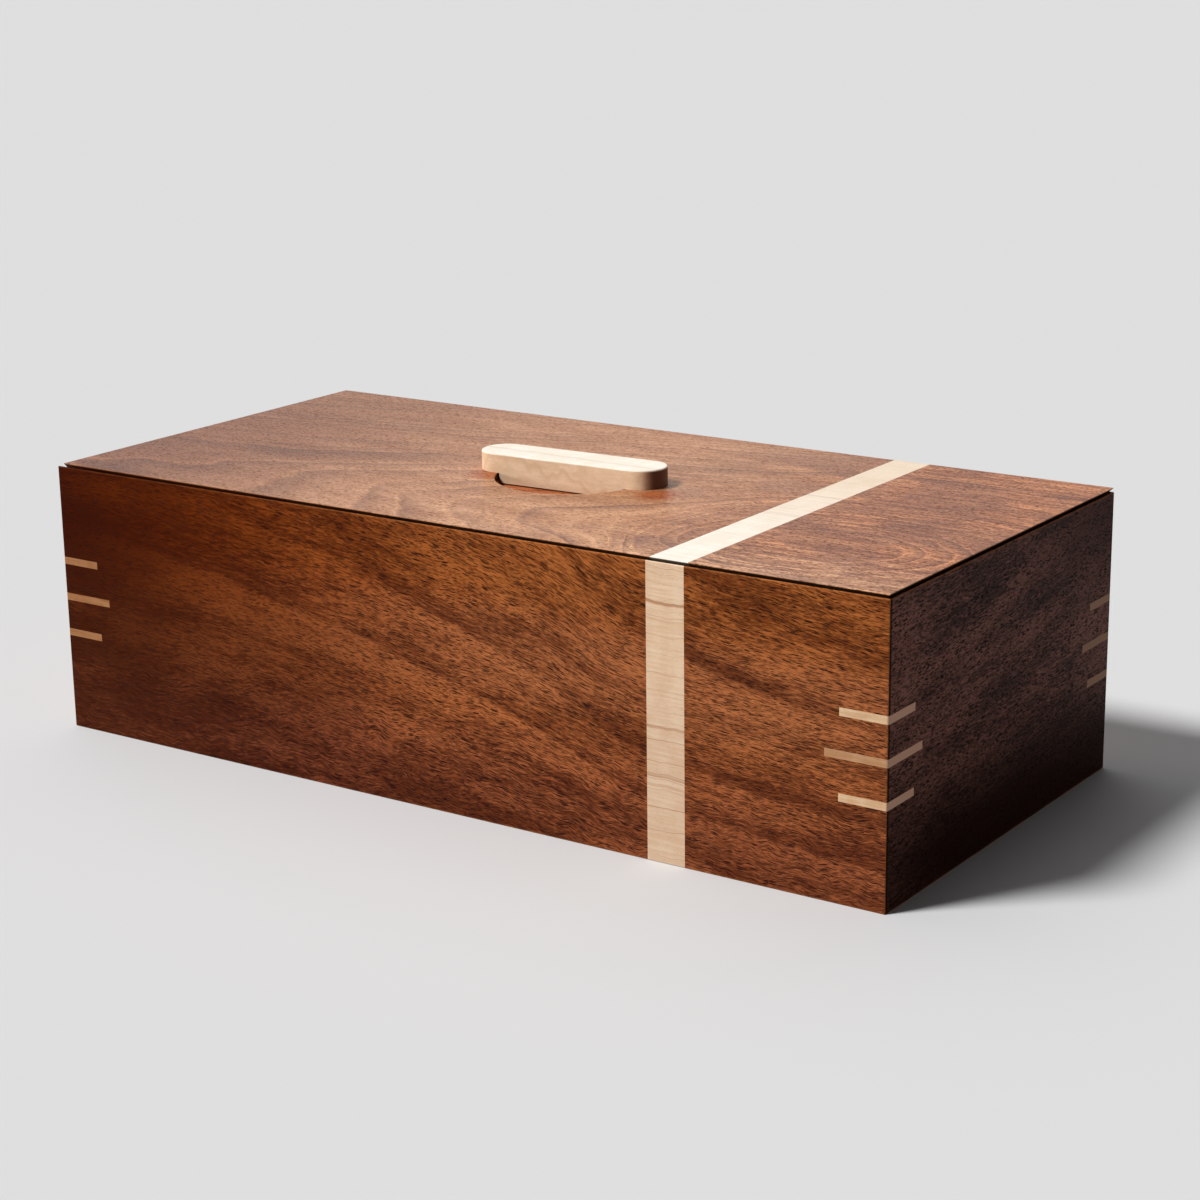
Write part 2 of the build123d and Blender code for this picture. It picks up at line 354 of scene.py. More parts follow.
x, y, z = walnut.parts(given["Vector"])
bends = walnut.stretched_noise(given["Vector"], (0.035, 0.07, 0.07), 2.0, 0.5)
bend = walnut.times(walnut.minus(bends, 0.5), GRAIN_BEND_MM)
flowing = walnut.vector(x, walnut.plus(y, bend), walnut.plus(z, bend))

fibres = walnut.stretched_noise(flowing, (0.13, 1.3, 1.3), 3.0, 0.65)
clouds = walnut.stretched_noise(flowing, (0.02, 0.09, 0.09), 3.0, 0.55)
tone = walnut.plus(walnut.times(fibres, 0.6), walnut.times(clouds, 0.4))
tone = walnut.plus(tone, walnut.times(given["Figure"], FIGURE_WEIGHT))
lightness = walnut.smooth(tone, given["Darkest Tone"], given["Lightest Tone"])
color = walnut.mix(lightness, given["Mid Color"], given["Light Color"])
color = walnut.mix(walnut.smooth(tone, 0.42, 0.26, 0.0, 0.8), color, given["Late Color"])
print("the grain sways over", GRAIN_BEND_MM, "mm")

# %% [markdown]
# ## Rings and heartwood
#
# The rings are strong in one place and faint in the next, and slow noise decides where. Late wood
# pulls the colour to its own dark tone, and the thin line after it to the light one. Heartwood
# comes last, because it darkens both alike.

# %% Walnut: rings and heartwood
ring_inputs = {"Distance": given["Ring Distance"], "Period": given["Ring Period"]}
ring = walnut.place(rings.tree, ring_inputs)
fading = walnut.stretched_noise(flowing, (0.015, 0.03, 0.03), 1.0, 0.5)
ring_depth = walnut.times(given["Ring Depth"], walnut.smooth(fading, 0.36, 0.54, 0.5, 1.0))
color = walnut.mix(walnut.times(ring["Late Wood"], ring_depth), color, given["Late Color"])
pale_share = walnut.times(walnut.times(ring["Pale Line"], ring_depth), given["Pale Depth"])
color = walnut.mix(pale_share, color, given["Light Color"])
color = walnut.mix(given["Heart"], color, given["Heart Color"])
print("nodes in the walnut so far:", len(walnut.tree.nodes))

# %% [markdown]
# ## Vessels and the surface
#
# The vessels are laid on twice, the second time finer and fainter, because a planed face cuts
# some through the middle and only grazes others. They are open troughs, so they are rougher than
# the wood between them, and lower. The group gives that as a height, which each material turns
# into bump.

# %% Walnut: vessels and surface
FINE_SIZE = 0.6
FINE_DEPTH = 0.7
FINE_SHIFT = (31.0, 17.0, 23.0)

length, spacing = given["Vessel Length"], given["Vessel Spacing"]
alike = {"Size": given["Vessel Size"], "Coverage": given["Vessel Coverage"]}
wide_inputs = {"Vector": flowing, "Length": length, "Spacing": spacing, **alike}
fine_inputs = {
    "Vector": walnut.vector_math("ADD", flowing, FINE_SHIFT),
    "Length": walnut.times(length, FINE_SIZE),
    "Spacing": walnut.times(spacing, FINE_SIZE),
    **alike,
}
wide = walnut.place(vessels.tree, wide_inputs)["Mask"]
fine = walnut.place(vessels.tree, fine_inputs)["Mask"]
open_grain = walnut.larger(wide, walnut.times(fine, FINE_DEPTH))
dark_share = walnut.times(open_grain, given["Vessel Depth"])
walnut.feed(result["Color"], walnut.mix(dark_share, color, given["Vessel Color"]))
walnut.feed(result["Roughness"], walnut.plus(given["Roughness"], walnut.times(open_grain, 0.2)))
walnut.feed(result["Height"], walnut.minus(walnut.times(fibres, 0.3), open_grain))
print("group:", walnut.tree.name, "with", len(walnut.tree.nodes), "nodes")

# %% [markdown]
# ## Maple
#
# Maple is nearly the opposite: close-pored, pale and even. Its ground only drifts between two
# pale tones, in fine streaks along the grain and in a faint mottle that comes and goes.

# %% Maple: the ground
maple, given, result = start_group(
    "Maple",
    [
        ("Vector", "Vector", None),
        ("Line Distance", "Float", 0.0),
        ("Line Period", "Float", 9.0),
        ("Line Depth", "Float", 0.5),
        ("Pale Color", "Color", (0.86, 0.70, 0.50, 1.0)),
        ("Warm Color", "Color", (0.74, 0.55, 0.36, 1.0)),
        ("Line Color", "Color", (0.40, 0.16, 0.065, 1.0)),
    ],
    [("Color", "Color"), ("Roughness", "Float"), ("Height", "Float")],
)
streaks = maple.stretched_noise(given["Vector"], (0.05, 0.9, 0.9), 4.0, 0.65)
mottle = maple.stretched_noise(given["Vector"], (0.12, 0.06, 0.06), 2.0, 0.5)
ground = maple.plus(maple.times(streaks, 0.55), maple.times(mottle, 0.45))
color = maple.mix(maple.smooth(ground, 0.38, 0.62), given["Warm Color"], given["Pale Color"])
print("maple has", len(maple.tree.interface.items_tree), "sockets")

# %% [markdown]
# ## Growth lines and flecks in maple
#
# A year of maple ends in a thin brown line instead of a slow darkening. The same sawtooth as in
# the walnut gives it, with only its last tenth drawn, and a random number for each year makes
# some of the lines fainter. Short flecks, where rays are cut, are scattered over all of it.

# %% Maple: lines and flecks
flecks = maple.stretched_noise(given["Vector"], (0.6, 2.6, 2.6), 2.0, 0.6)
waver = maple.stretched_noise(given["Vector"], (0.09, 0.03, 0.03), 1.5, 0.5)
across = maple.plus(given["Line Distance"], maple.times(waver, 4.0))
age = maple.math("DIVIDE", across, given["Line Period"])
slow = {"W": age, "Scale": 0.9, "Detail": 2.0}
uneven = maple.add("ShaderNodeTexNoise", slow, noise_dimensions="1D").outputs[0]
age = maple.plus(age, maple.times(uneven, 3.0))
season = maple.math("FRACT", age)
year = maple.math("FLOOR", age)
strength = maple.add("ShaderNodeTexWhiteNoise", {"W": year}, noise_dimensions="1D").outputs[0]
line = maple.times(maple.smooth(season, 0.90, 0.97), maple.smooth(season, 1.0, 0.975))
line = maple.times(line, maple.smooth(strength, 0.0, 1.0, 0.3, 1.0))
shade = maple.times(maple.smooth(season, 0.3, 0.95), 0.25)
color = maple.mix(shade, color, given["Warm Color"])
color = maple.mix(maple.times(line, given["Line Depth"]), color, given["Line Color"])
color = maple.mix(maple.smooth(flecks, 0.56, 0.72, 0.0, 0.22), color, given["Line Color"])
maple.feed(result["Color"], color)
maple.feed(result["Roughness"], maple.smooth(streaks, 0.3, 0.7, 0.40, 0.52))
maple.feed(result["Height"], maple.minus(maple.times(streaks, 0.5), line))
print("group:", maple.tree.name, "with", len(maple.tree.nodes), "nodes")

# %% [markdown]
# ## From recipe to material
#
# Every piece is measured in its own frame, and a woodworker thinks in millimetres, so the object
# coordinates are multiplied by a thousand before anything else. Object coordinates also stay with
# a piece when it moves: the lid keeps its arches when it slides.


# %% Starting a material
def new_material(name):
    material = bpy.data.materials.new(name)
    material.use_nodes = True
    material.node_tree.nodes.clear()
    return material, Wiring(material.node_tree)


def board_space(wiring):
    """Object coordinates in millimetres."""
    place = wiring.add("ShaderNodeTexCoord").outputs["Object"]
    return wiring.vector_math("MULTIPLY", place, (MM, MM, MM))


def dress(material, *names):
    """Puts the material on the named nodes, in place of the plain look that they came with."""
    for name in names:
        slots = nodes[name].data.materials
        slots.clear()
        slots.append(material)
    print(material.name, "on", len(names), "nodes")


print("nodes to dress:", len(nodes))

# %% [markdown]
# ## Oil and wear
#
# The groups give colour, roughness and height. The shader itself stays in each material, with the
# values that are the same all over set straight on its sockets. Stains and wear come between the
# two: a stain multiplies the colour, so the grain stays visible in it, and a rubbed arris shows
# the bare wood.

# %% Oil and wear
RUB_REACH_MM = 0.9
WORN_WALNUT = (0.56, 0.19, 0.05, 1.0)


def finish_wood(wiring, wood, color, specular, bump_mm):
    """Principled shader fed by a wood group's outputs."""
    relief = {"Height": wood["Height"], "Strength": 1.0, "Distance": bump_mm / MM}
    bump = wiring.add("ShaderNodeBump", relief)
    shader = wiring.add(
        "ShaderNodeBsdfPrincipled",
        {
            "Base Color": color,
            "Roughness": wood["Roughness"],
            "Normal": bump.outputs[0],
            "Specular IOR Level": specular,
        },
    )
    wiring.add("ShaderNodeOutputMaterial", {0: shader.outputs[0]})


def tint(wiring, share, color, factor):
    """Multiplies the colour, as a stain or old wax would, where share is above zero."""
    return wiring.mix(share, color, (*factor, 1.0), "MULTIPLY")


def wear_arris(wiring, place, color, top, share):
    """Bare wood along the outer arrises of a board that ends at the height top."""
    reach = {"Half Length": MM * cad_high.x, "Half Width": MM * cad_high.y, "Reach": RUB_REACH_MM}
    mask = wiring.place(arris.tree, {"Vector": place, "Top": top, **reach})["Mask"]
    return wiring.mix(wiring.times(mask, share), color, WORN_WALNUT)


print("arrises are rubbed", RUB_REACH_MM, "mm wide")

# %% [markdown]
# ## The figure of a long board
#
# On the front the figure runs downhill: bands of light and dark wood start high on the left and
# sink to the right, steeply by the inlay band and gently past it. One curve gives how far they
# have sunk at each place along the board. A second one says how light or dark the wood is at each
# level that is left when the sinking is undone. Both are read like a drawing, which random noise
# never is.

# %% Curves for the figure of a board
SINK_MM = [(-203, 0), (-60, 25), (-10, 42), (45, 70), (105, 122), (150, 141), (203, 157)]
BANDS = [
    (0, 0.10), (32, 0.24), (50, 0.58), (70, 0.54), (84, 0.78), (91, 0.80), (96, 0.22), (101, 0.32),
    (112, 0.56), (122, 0.60), (128, 0.20), (136, 0.34), (152, 0.46), (168, 0.64), (197, 0.54),
    (201, 0.20), (206, 0.44), (221, 0.62), (236, 0.60), (249, 0.20), (258, 0.34), (275, 0.46),
]


def curve_of(wiring, value, points, scale=1.0):
    """A drawn curve through (value, height) points, heights divided by scale."""
    low, high = points[0][0], points[-1][0]
    share = wiring.add("ShaderNodeMapRange", {0: value, 1: low, 2: high}).outputs[0]
    node = wiring.add("ShaderNodeFloatCurve", {1: share})
    drawn = node.mapping.curves[0].points
    for index, (where, height) in enumerate(points):
        spot = ((where - low) / (high - low), height / scale)
        if index == 0:
            drawn[0].location = spot
        elif index == len(points) - 1:
            drawn[len(drawn) - 1].location = spot
        else:
            drawn.new(*spot)
    node.mapping.update()
    return node.outputs[0]


def figure_of(wiring, level, bands):
    """Light and dark bands as a value between -1 and 1."""
    drawn = curve_of(wiring, level, bands)
    return wiring.add("ShaderNodeMapRange", {0: drawn, 3: -1.0, 4: 1.0}).outputs[0]


def waver_of(wiring, place, reach):
    """Slow unevenness, reach millimetres from peak to peak."""
    noise = wiring.stretched_noise(place, (0.02, 0.02, 0.05), 3.0, 0.5)
    return wiring.times(wiring.minus(noise, 0.5), reach)


print("bands on a long board:", len(BANDS), "on a drop of", SINK_MM[-1][1], "mm")

# %% [markdown]
# ## Darker left and foot, and tints
#
# The board goes a deep purple-brown towards the left and along its foot. Both are shares between
# nothing and all that are laid over the figure. The same places are also tinted, which shows as a
# shift of colour rather than as a band.

# %% Darker left and foot, and tints on a long board
FOOT_TINT = (0.98, 0.92, 1.16)
TOP_TINT = (0.94, 0.92, 0.76)
MIDDLE_TINT = (1.0, 1.05, 1.22)
UPPER_LEFT_TINT = (0.82, 0.46, 0.10)
LOWER_LEFT_TINT = (0.66, 0.60, 0.66)


def long_darkening(wiring, place, along, z, left_dark, low_dark):
    low = wiring.smooth(z, 52.0, 2.0, 0.0, low_dark)
    left = wiring.smooth(along, 50.0, -220.0, 0.0, left_dark)
    left = wiring.times(left, wiring.smooth(z, 0.0, 50.0, 0.78, 1.0))
    drift = wiring.stretched_noise(place, (0.01, 0.01, 0.03), 2.0, 0.5)
    heart = wiring.larger(low, left)
    return wiring.times(heart, wiring.smooth(drift, 0.3, 0.6, 0.8, 1.05), clamp=True)


def long_tints(wiring, color, along, z, left_dark):
    color = tint(wiring, wiring.smooth(z, 64.0, 8.0), color, FOOT_TINT)
    color = tint(wiring, wiring.smooth(z, 84.0, 104.0), color, TOP_TINT)
    middle = wiring.times(wiring.smooth(z, 94.0, 80.0), wiring.smooth(z, 46.0, 62.0))
    color = tint(wiring, middle, color, MIDDLE_TINT)
    high = wiring.smooth(z, 5.0, 100.0)
    upper_left = wiring.times(wiring.smooth(along, 70.0, -180.0), high)
    upper_left = wiring.times(upper_left, left_dark)
    color = tint(wiring, upper_left, color, UPPER_LEFT_TINT)
    lower_left = wiring.times(wiring.smooth(along, 0.0, -50.0), wiring.smooth(z, 75.0, 20.0))
    lower_left = wiring.times(lower_left, wiring.smooth(along, -200.0, -90.0, 0.45, 1.0))
    return tint(wiring, lower_left, color, LOWER_LEFT_TINT)


print("heartwood and oil are ready")

# %% [markdown]
# ## The front and back walls
#
# Front and back are two slices of one plank, opened like a book, so the back is the front
# mirrored from end to end. The vessels follow the figure downhill at about half its slope, and
# near the foot they curl a little, as they do beside a knot that lies just outside the board.

# %% Front and back walls
VESSEL_SLOPE = 0.45
wall_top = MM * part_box("front_wall")[1].z


def long_wall(name, mirror, left_dark, low_dark):
    material, wiring = new_material(name)
    place = board_space(wiring)
    x, y, z = wiring.parts(place)
    along = wiring.times(x, -1.0 if mirror else 1.0)
    deepest = SINK_MM[-1][1]
    sunk = wiring.times(curve_of(wiring, along, SINK_MM, deepest), deepest)
    sunk = wiring.times(sunk, wiring.smooth(z, -40.0, 118.0, 0.30, 1.0))
    level = wiring.plus(wiring.plus(z, sunk), waver_of(wiring, place, 7.0))
    curl = wiring.stretched_noise(place, (0.10, 0.05, 0.05), 1.0, 0.5)
    curl_mm = wiring.smooth(z, 60.0, 10.0, 1.0, 6.0)
    curl = wiring.times(wiring.minus(curl, 0.5), curl_mm)
    flow = wiring.plus(z, wiring.times(sunk, VESSEL_SLOPE))
    wood = wiring.place(
        walnut.tree,
        {
            "Vector": wiring.vector(x, y, wiring.plus(flow, curl)),
            "Figure": figure_of(wiring, level, BANDS),
            "Ring Distance": level,
            "Ring Period": 11.0,
            "Ring Depth": 0.35,
            "Heart": long_darkening(wiring, place, along, z, left_dark, low_dark),
            "Vessel Size": wiring.smooth(z, 70.0, 20.0, 0.39, 0.44),
            "Vessel Depth": wiring.smooth(along, -170.0, 20.0, 0.6, 1.0),
        },
    )
    color = long_tints(wiring, wood["Color"], along, z, left_dark)
    worn = wiring.smooth(along, -160.0, 60.0, 0.08, 0.45)
    color = wear_arris(wiring, place, color, wall_top, worn)
    finish_wood(wiring, wood, color, specular=0.03, bump_mm=0.10)
    return material


front = long_wall("walnut_front", mirror=False, left_dark=0.95, low_dark=0.30)
back = long_wall("walnut_back", mirror=True, left_dark=0.50, low_dark=0.30)
dress(front, "front_wall")
dress(back, "back_wall")

# %% [markdown]
# ## The end walls
#
# The ends are cut from the same plank and their grain goes round the corner with it, so it runs
# from front to back. Turning the board space by a quarter turn is all that this takes. Two or
# three light bands climb slowly towards the back, drawn by a curve as on the front. The far top
# corner and the foot are painted darker, as painted shade. At the front edge the mitre shows as a
# black line.

# %% End walls
END_BANDS = [
    (-25, 0.30), (20, 0.40), (45, 0.56), (60, 0.48), (74, 0.58), (86, 0.44), (96, 0.88),
    (106, 0.44), (118, 0.34), (140, 0.50),
]
END_CLIMB = 0.22
SHADED_CORNER = (0.25, 0.18, 0.165)
MITRE_BLACK = (0.012, 0.004, 0.002, 1.0)
MITRE_MM = (-93.4, -94.3)
INNER_FACE_MM = (6.0, 10.0)
RIGHT_FACE_MM = MM * cad_high.x


def end_wall(name, seed, inner_tint, **own):
    material, wiring = new_material(name)
    place = board_space(wiring)
    x, y, z = wiring.parts(place)
    turned = wiring.vector(wiring.plus(y, seed), x, z)
    level = wiring.plus(z, waver_of(wiring, turned, 24.0))
    level = wiring.minus(level, wiring.times(y, END_CLIMB))
    far_side = wiring.times(wiring.smooth(y, 45.0, 85.0), wiring.smooth(z, 10.0, 45.0))
    near_top = wiring.times(wiring.smooth(y, -45.0, -85.0), wiring.smooth(z, 50.0, 100.0))
    lighter = wiring.larger(far_side, near_top)
    # Painted shade: Heart darkens the wall towards the foot, less so by the front corner.
    behind = wiring.smooth(y, -95.0, -40.0, 0.76, 0.98)
    inputs = {
        "Vector": turned,
        "Figure": wiring.plus(figure_of(wiring, level, END_BANDS), lighter),
        "Ring Distance": level,
        "Ring Period": 14.0,
        "Ring Depth": 0.5,
        "Heart": wiring.times(wiring.smooth(z, 60.0, 12.0), behind),
    }
    for label, value in own.items():
        inputs[label.replace("_", " ")] = (*value, 1.0) if isinstance(value, tuple) else value
    wood = wiring.place(walnut.tree, inputs)
    # Painted shade: the far top corner under the lid is darkened.
    shaded_far_top = wiring.times(wiring.smooth(y, -20.0, 95.0), wiring.smooth(z, 60.0, 110.0))
    color = tint(wiring, shaded_far_top, wood["Color"], SHADED_CORNER)
    from_middle = wiring.math("ABSOLUTE", x)
    inner_face = wiring.smooth(from_middle, *[RIGHT_FACE_MM - depth for depth in INNER_FACE_MM])
    color = tint(wiring, inner_face, color, inner_tint)
    color = wear_arris(wiring, place, color, wall_top, 0.4)
    color = wiring.mix(wiring.smooth(y, *MITRE_MM, 0.0, 0.9), color, MITRE_BLACK)
    finish_wood(wiring, wood, color, specular=0.018, bump_mm=0.10)
    return material


print("bands on an end wall:", len(END_BANDS))

# %% [markdown]
# ## A dark end and a red one
#
# The right end is given darker and greyer colours on its outside, with coarse pores, as painted
# shade. Its inside is lightened back to the red of the other boards. The left end is plain red
# walnut. One recipe serves both, and each plank names only what differs.

# %% The two ends
shaded_right_plank = {
    "Light_Color": (0.330, 0.138, 0.106),
    "Mid_Color": (0.064, 0.025, 0.0188),
    "Late_Color": (0.022, 0.007, 0.005),
    "Heart_Color": (0.014, 0.003, 0.0011),
    "Vessel_Color": (0.002, 0.001, 0.0005),
    "Vessel_Length": 2.8,
    "Vessel_Spacing": 0.82,
    "Vessel_Size": 0.46,
    "Vessel_Depth": 1.0,
}
left_plank = {
    "Light_Color": (0.36, 0.118, 0.040),
    "Mid_Color": (0.15, 0.042, 0.013),
    "Vessel_Length": 5.0,
    "Vessel_Spacing": 0.62,
    "Vessel_Size": 0.36,
    "Vessel_Depth": 0.7,
}
# The inside tint lightens the right end's inside again, so the painted shade stays on the outside.
right_end = end_wall("walnut_right_end", seed=0.0, inner_tint=(1.6, 1.2, 0.6), **shaded_right_plank)
left_end = end_wall("walnut_left_end", seed=300.0, inner_tint=(1.0, 1.0, 1.0), **left_plank)
dress(right_end, "right_end_wall")
dress(left_end, "left_end_wall")

# %% [markdown]
# ## The arches of the lid
#
# The lid is a flat-sawn board, and its rings come out as cathedral arches: ovals about one point
# towards the right of the board, and far to the left of it ever longer arches. A drawn curve
# tells how the rings spread along the board, and with the place across it makes the distance from
# the heart of the oval. A little noise keeps every arch from being a perfect curve.

# %% Arches of the lid
ARCH_X_MM = 148.0
ARCH_Y_MM = -50.0
ARCH_TILT = 0.09
ARCH_WAVER_MM = 12.0
SQUARED = [
    (-230, 12900), (-106, 10900), (4, 5972), (67, 3767), (98, 977), (119, 330), (136, 50),
    (148, 0), (162, 60), (187, 620), (215, 1900),
]

lid_material, wiring = new_material("walnut_arched")
place = board_space(wiring)
x, y, z = wiring.parts(place)
most = SQUARED[0][1]
along_squared = wiring.times(curve_of(wiring, x, SQUARED, most), most)
axis_y = wiring.times(wiring.minus(x, ARCH_X_MM), ARCH_TILT)
across = wiring.minus(y, wiring.plus(axis_y, ARCH_Y_MM))
across_squared = wiring.times(across, across)
oval = wiring.math("SQRT", wiring.plus(along_squared, across_squared))
waver = wiring.stretched_noise(place, (0.012, 0.03, 0.03), 2.0, 0.45)
level = wiring.plus(oval, wiring.times(waver, ARCH_WAVER_MM))
level = wiring.plus(level, wiring.times(z, 0.6))
print("the arches close at x", ARCH_X_MM, "y", ARCH_Y_MM, "mm")

# %% [markdown]
# ## The wood of the lid
#
# Left of the inlay band the board is clear and pale, and right of it streaky and brown, with
# darker patches where the saw came near the heart. The streaks are noise drawn out along the
# grain, and the patches are noise with soft edges. Both fade in over a hand's breadth before the
# inlay band, so that the change has no edge of its own.


# %% Wood of the lid
def before_band(left_value, right_value):
    """A value that changes in the last few centimetres before the inlay band."""
    return wiring.smooth(x, 60.0, 120.0, left_value, right_value)


past_band = wiring.smooth(x, 70.0, 120.0)
streaks = wiring.stretched_noise(place, (0.05, 0.42, 0.42), 3.0, 0.6)
streaks = wiring.times(wiring.minus(streaks, 0.52), 7.0)
patches = wiring.stretched_noise(place, (0.022, 0.035, 0.03), 1.0, 0.5)
patches = wiring.times(wiring.smooth(patches, 0.46, 0.60), wiring.smooth(x, 20.0, 80.0))
wood = wiring.place(
    walnut.tree,
    {
        "Vector": place,
        "Ring Distance": level,
        "Ring Period": 8.0,
        "Ring Depth": 1.0,
        "Pale Depth": before_band(0.45, 0.8),
        "Figure": wiring.times(streaks, past_band),
        "Heart": wiring.times(patches, 0.4),
        "Darkest Tone": before_band(0.33, 0.40),
        "Lightest Tone": before_band(0.82, 0.64),
        "Vessel Length": 2.5,
        "Vessel Spacing": 0.70,
        "Vessel Depth": wiring.smooth(x, 60.0, 130.0, 0.75, 1.0),
        "Roughness": 0.30,
        "Light Color": (0.86, 0.470, 0.260, 1.0),
        "Mid Color": (0.44, 0.183, 0.076, 1.0),
        "Late Color": (0.125, 0.043, 0.029, 1.0),
        "Heart Color": (0.22, 0.105, 0.080, 1.0),
        "Vessel Color": (0.085, 0.025, 0.011, 1.0),
    },
)
print("the lid's recipe has", len(wiring.tree.nodes), "nodes")

# %% [markdown]
# ## The dark line round the lid
#
# The edges of the lid are undercut, so that it seems to float over the walls. The undercut is
# painted dark, as painted shade for the open joint, and a little redder on the left. The band that
# crosses the lid ends in the same joint, so this is a helper for both materials.

# %% The joint round the lid
UNDER_ARRIS_MM = (0.25, 0.45)
OVER_WALL_MM = (4.0, 2.5)
JOINT_SHADE_SHARE = 0.93
JOINT_SHADE_RIGHT = (0.006, 0.004, 0.003, 1.0)
JOINT_SHADE_LEFT = (0.05, 0.012, 0.005, 1.0)
lid_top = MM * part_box("lid_panel")[1].z


def painted_joint_shade(wiring, place, color):
    """Painted shade from just under the arris down to the joint, seen on every side of the lid."""
    x, _, z = wiring.parts(place)
    below = wiring.smooth(z, *[lid_top - depth for depth in UNDER_ARRIS_MM])
    above = wiring.smooth(z, *[lid_top - depth for depth in OVER_WALL_MM])
    share = wiring.times(wiring.times(below, above), JOINT_SHADE_SHARE)
    joint_shade = wiring.mix(wiring.smooth(x, 0.0, -150.0), JOINT_SHADE_RIGHT, JOINT_SHADE_LEFT)
    return wiring.mix(share, color, joint_shade)


print("the lid ends at", round(lid_top, 1), "mm and the walls at", round(wall_top, 1), "mm")

# %% [markdown]
# ## Tones and painted shade on the lid
#
# The board is darker towards the left and towards the back, and right of the inlay band all but
# the front edge has browned. The dish and the lid just beside the ends of the handle are painted
# darker and redder, as painted shade and painted reflection of the handle. Each is a place with a
# soft edge that multiplies the colour, so the grain stays visible in it.

# %% Tones and painted shade on the lid
DISH_MM = (3.2, -1.0)
DISH_REACH_MM = 34.0
RIGHT_OF_HANDLE_MM = (52.0, -12.0)
LEFT_OF_HANDLE_MM = (-29.0, -17.0)
SPOT_MM = (12.0, 4.0)
DARK_LEFT = (0.47, 0.338, 0.262)
DARKER_BACK = (0.90, 0.86, 0.80)
BROWN_RIGHT = (0.80, 0.58, 0.40)
HANDLE_SHADE_RED = (0.86, 0.44, 0.22)


def near_spot(spot_x, spot_y, reach, full):
    """Nothing beyond reach from the spot, all within full of it."""
    away = wiring.vector(wiring.minus(x, spot_x), wiring.minus(y, spot_y), 0.0)
    distance = wiring.add("ShaderNodeVectorMath", {0: away}, operation="LENGTH").outputs["Value"]
    return wiring.smooth(distance, reach, full)


left = wiring.times(wiring.smooth(x, 0.0, -190.0), wiring.smooth(y, 110.0, -40.0, 0.6, 1.0))
color = tint(wiring, left, wood["Color"], DARK_LEFT)
# Darker towards the back.
color = tint(wiring, wiring.smooth(y, -60.0, 95.0), color, DARKER_BACK)
browned = wiring.times(wiring.smooth(x, 40.0, 150.0), wiring.smooth(y, -95.0, -45.0))
color = tint(wiring, browned, color, BROWN_RIGHT)

# Painted shade and painted reflection: dish and lid beside the handle ends darker and redder.
sunk_floor = wiring.smooth(z, lid_top - 0.6, lid_top - 3.5)
dish = near_spot(*DISH_MM, DISH_REACH_MM + 2.0, DISH_REACH_MM)
wear_and_shade = wiring.times(sunk_floor, dish)
for spot in (RIGHT_OF_HANDLE_MM, LEFT_OF_HANDLE_MM):
    wear_and_shade = wiring.larger(wear_and_shade, near_spot(*spot, *SPOT_MM))
color = tint(wiring, wiring.times(wear_and_shade, 0.8), color, HANDLE_SHADE_RED)
color = wear_arris(wiring, place, color, lid_top, 0.3)
# Painted shade along the undercut joint round the lid.
color = painted_joint_shade(wiring, place, color)
finish_wood(wiring, wood, color, specular=0.13, bump_mm=0.08)
dress(lid_material, "lid_panel")

# %% [markdown]
# ## The bottom panel
#
# The bottom is a thin quarter-sawn board that nobody looks at, so its rings are nearly straight
# lines from end to end. Plain distance across the board, with slow noise to bend it, is enough.

# %% Bottom panel
panel_material, wiring = new_material("walnut_bottom")
place = board_space(wiring)
y = wiring.parts(place)["Y"]
waver = wiring.stretched_noise(place, (0.006, 0.02, 0.02), 3.0, 0.5)
distance = wiring.plus(y, wiring.times(waver, 60.0))
quarter_sawn = {"Ring Distance": distance, "Ring Period": 9.0, "Ring Depth": 0.6, "Heart": 0.15}
wood = wiring.place(walnut.tree, {"Vector": place, **quarter_sawn})
finish_wood(wiring, wood, wood["Color"], specular=0.3, bump_mm=0.12)
dress(panel_material, "bottom_panel")

# %% [markdown]
# ## One recipe for every maple piece
#
# Bands, keys, runners and handle differ in which way their growth lines lie, how close these are,
# and how much they have yellowed. A function takes these as words and numbers. The seed shifts
# the piece to another place in the same plank, so that no two of them show the same lines.


# %% A maple piece
def maple_piece(name, lie, seed, period, depth, specular, recolor=None, **colors):
    """Growth lines lie level, one over the other, or flat, one behind the other."""
    material, wiring = new_material(name)
    place = board_space(wiring)
    x, y, z = wiring.parts(place)
    if lie == "level":
        across = wiring.plus(z, wiring.times(y, 0.2))
        board = wiring.vector(x, z, y)
    else:
        across = wiring.plus(y, wiring.times(z, 0.2))
        board = place
    shifted = wiring.vector_math("ADD", board, (seed, seed, seed))
    inputs = {
        "Vector": shifted,
        "Line Distance": wiring.plus(across, seed),
        "Line Period": period,
        "Line Depth": depth,
    }
    for label, value in colors.items():
        inputs[label.replace("_", " ")] = (*value, 1.0)
    wood = wiring.place(maple.tree, inputs)
    color = wood["Color"]
    if recolor:
        color = recolor(wiring, place, color)
    finish_wood(wiring, wood, color, specular, bump_mm=0.04)
    return material


plain = maple_piece("maple_plain", "flat", seed=5.0, period=6.0, depth=0.4, specular=0.4)
dress(plain, "front_runner", "back_runner")

# %% [markdown]
# ## The inlay bands
#
# The bands in the walls have level growth lines that follow each other closely. The one in the
# lid was cut from clearer wood and is nearly white. It is palest at the front and darker towards
# the back, and its ends get the painted shade of the undercut edge of the lid.

# %% Inlay bands
LOWER_BAND_TINT = (0.93, 0.915, 0.93)
BAND_BACK_TINT = (0.86, 0.76, 0.66)


def darker_band_foot(wiring, place, color):
    # Darker towards the foot of the band.
    low = wiring.smooth(wiring.parts(place)["Z"], 100.0, 30.0)
    return tint(wiring, low, color, LOWER_BAND_TINT)


def lid_joint(wiring, place, color):
    towards_back = wiring.smooth(wiring.parts(place)["Y"], -80.0, 60.0)
    color = tint(wiring, towards_back, color, BAND_BACK_TINT)
    return painted_joint_shade(wiring, place, color)


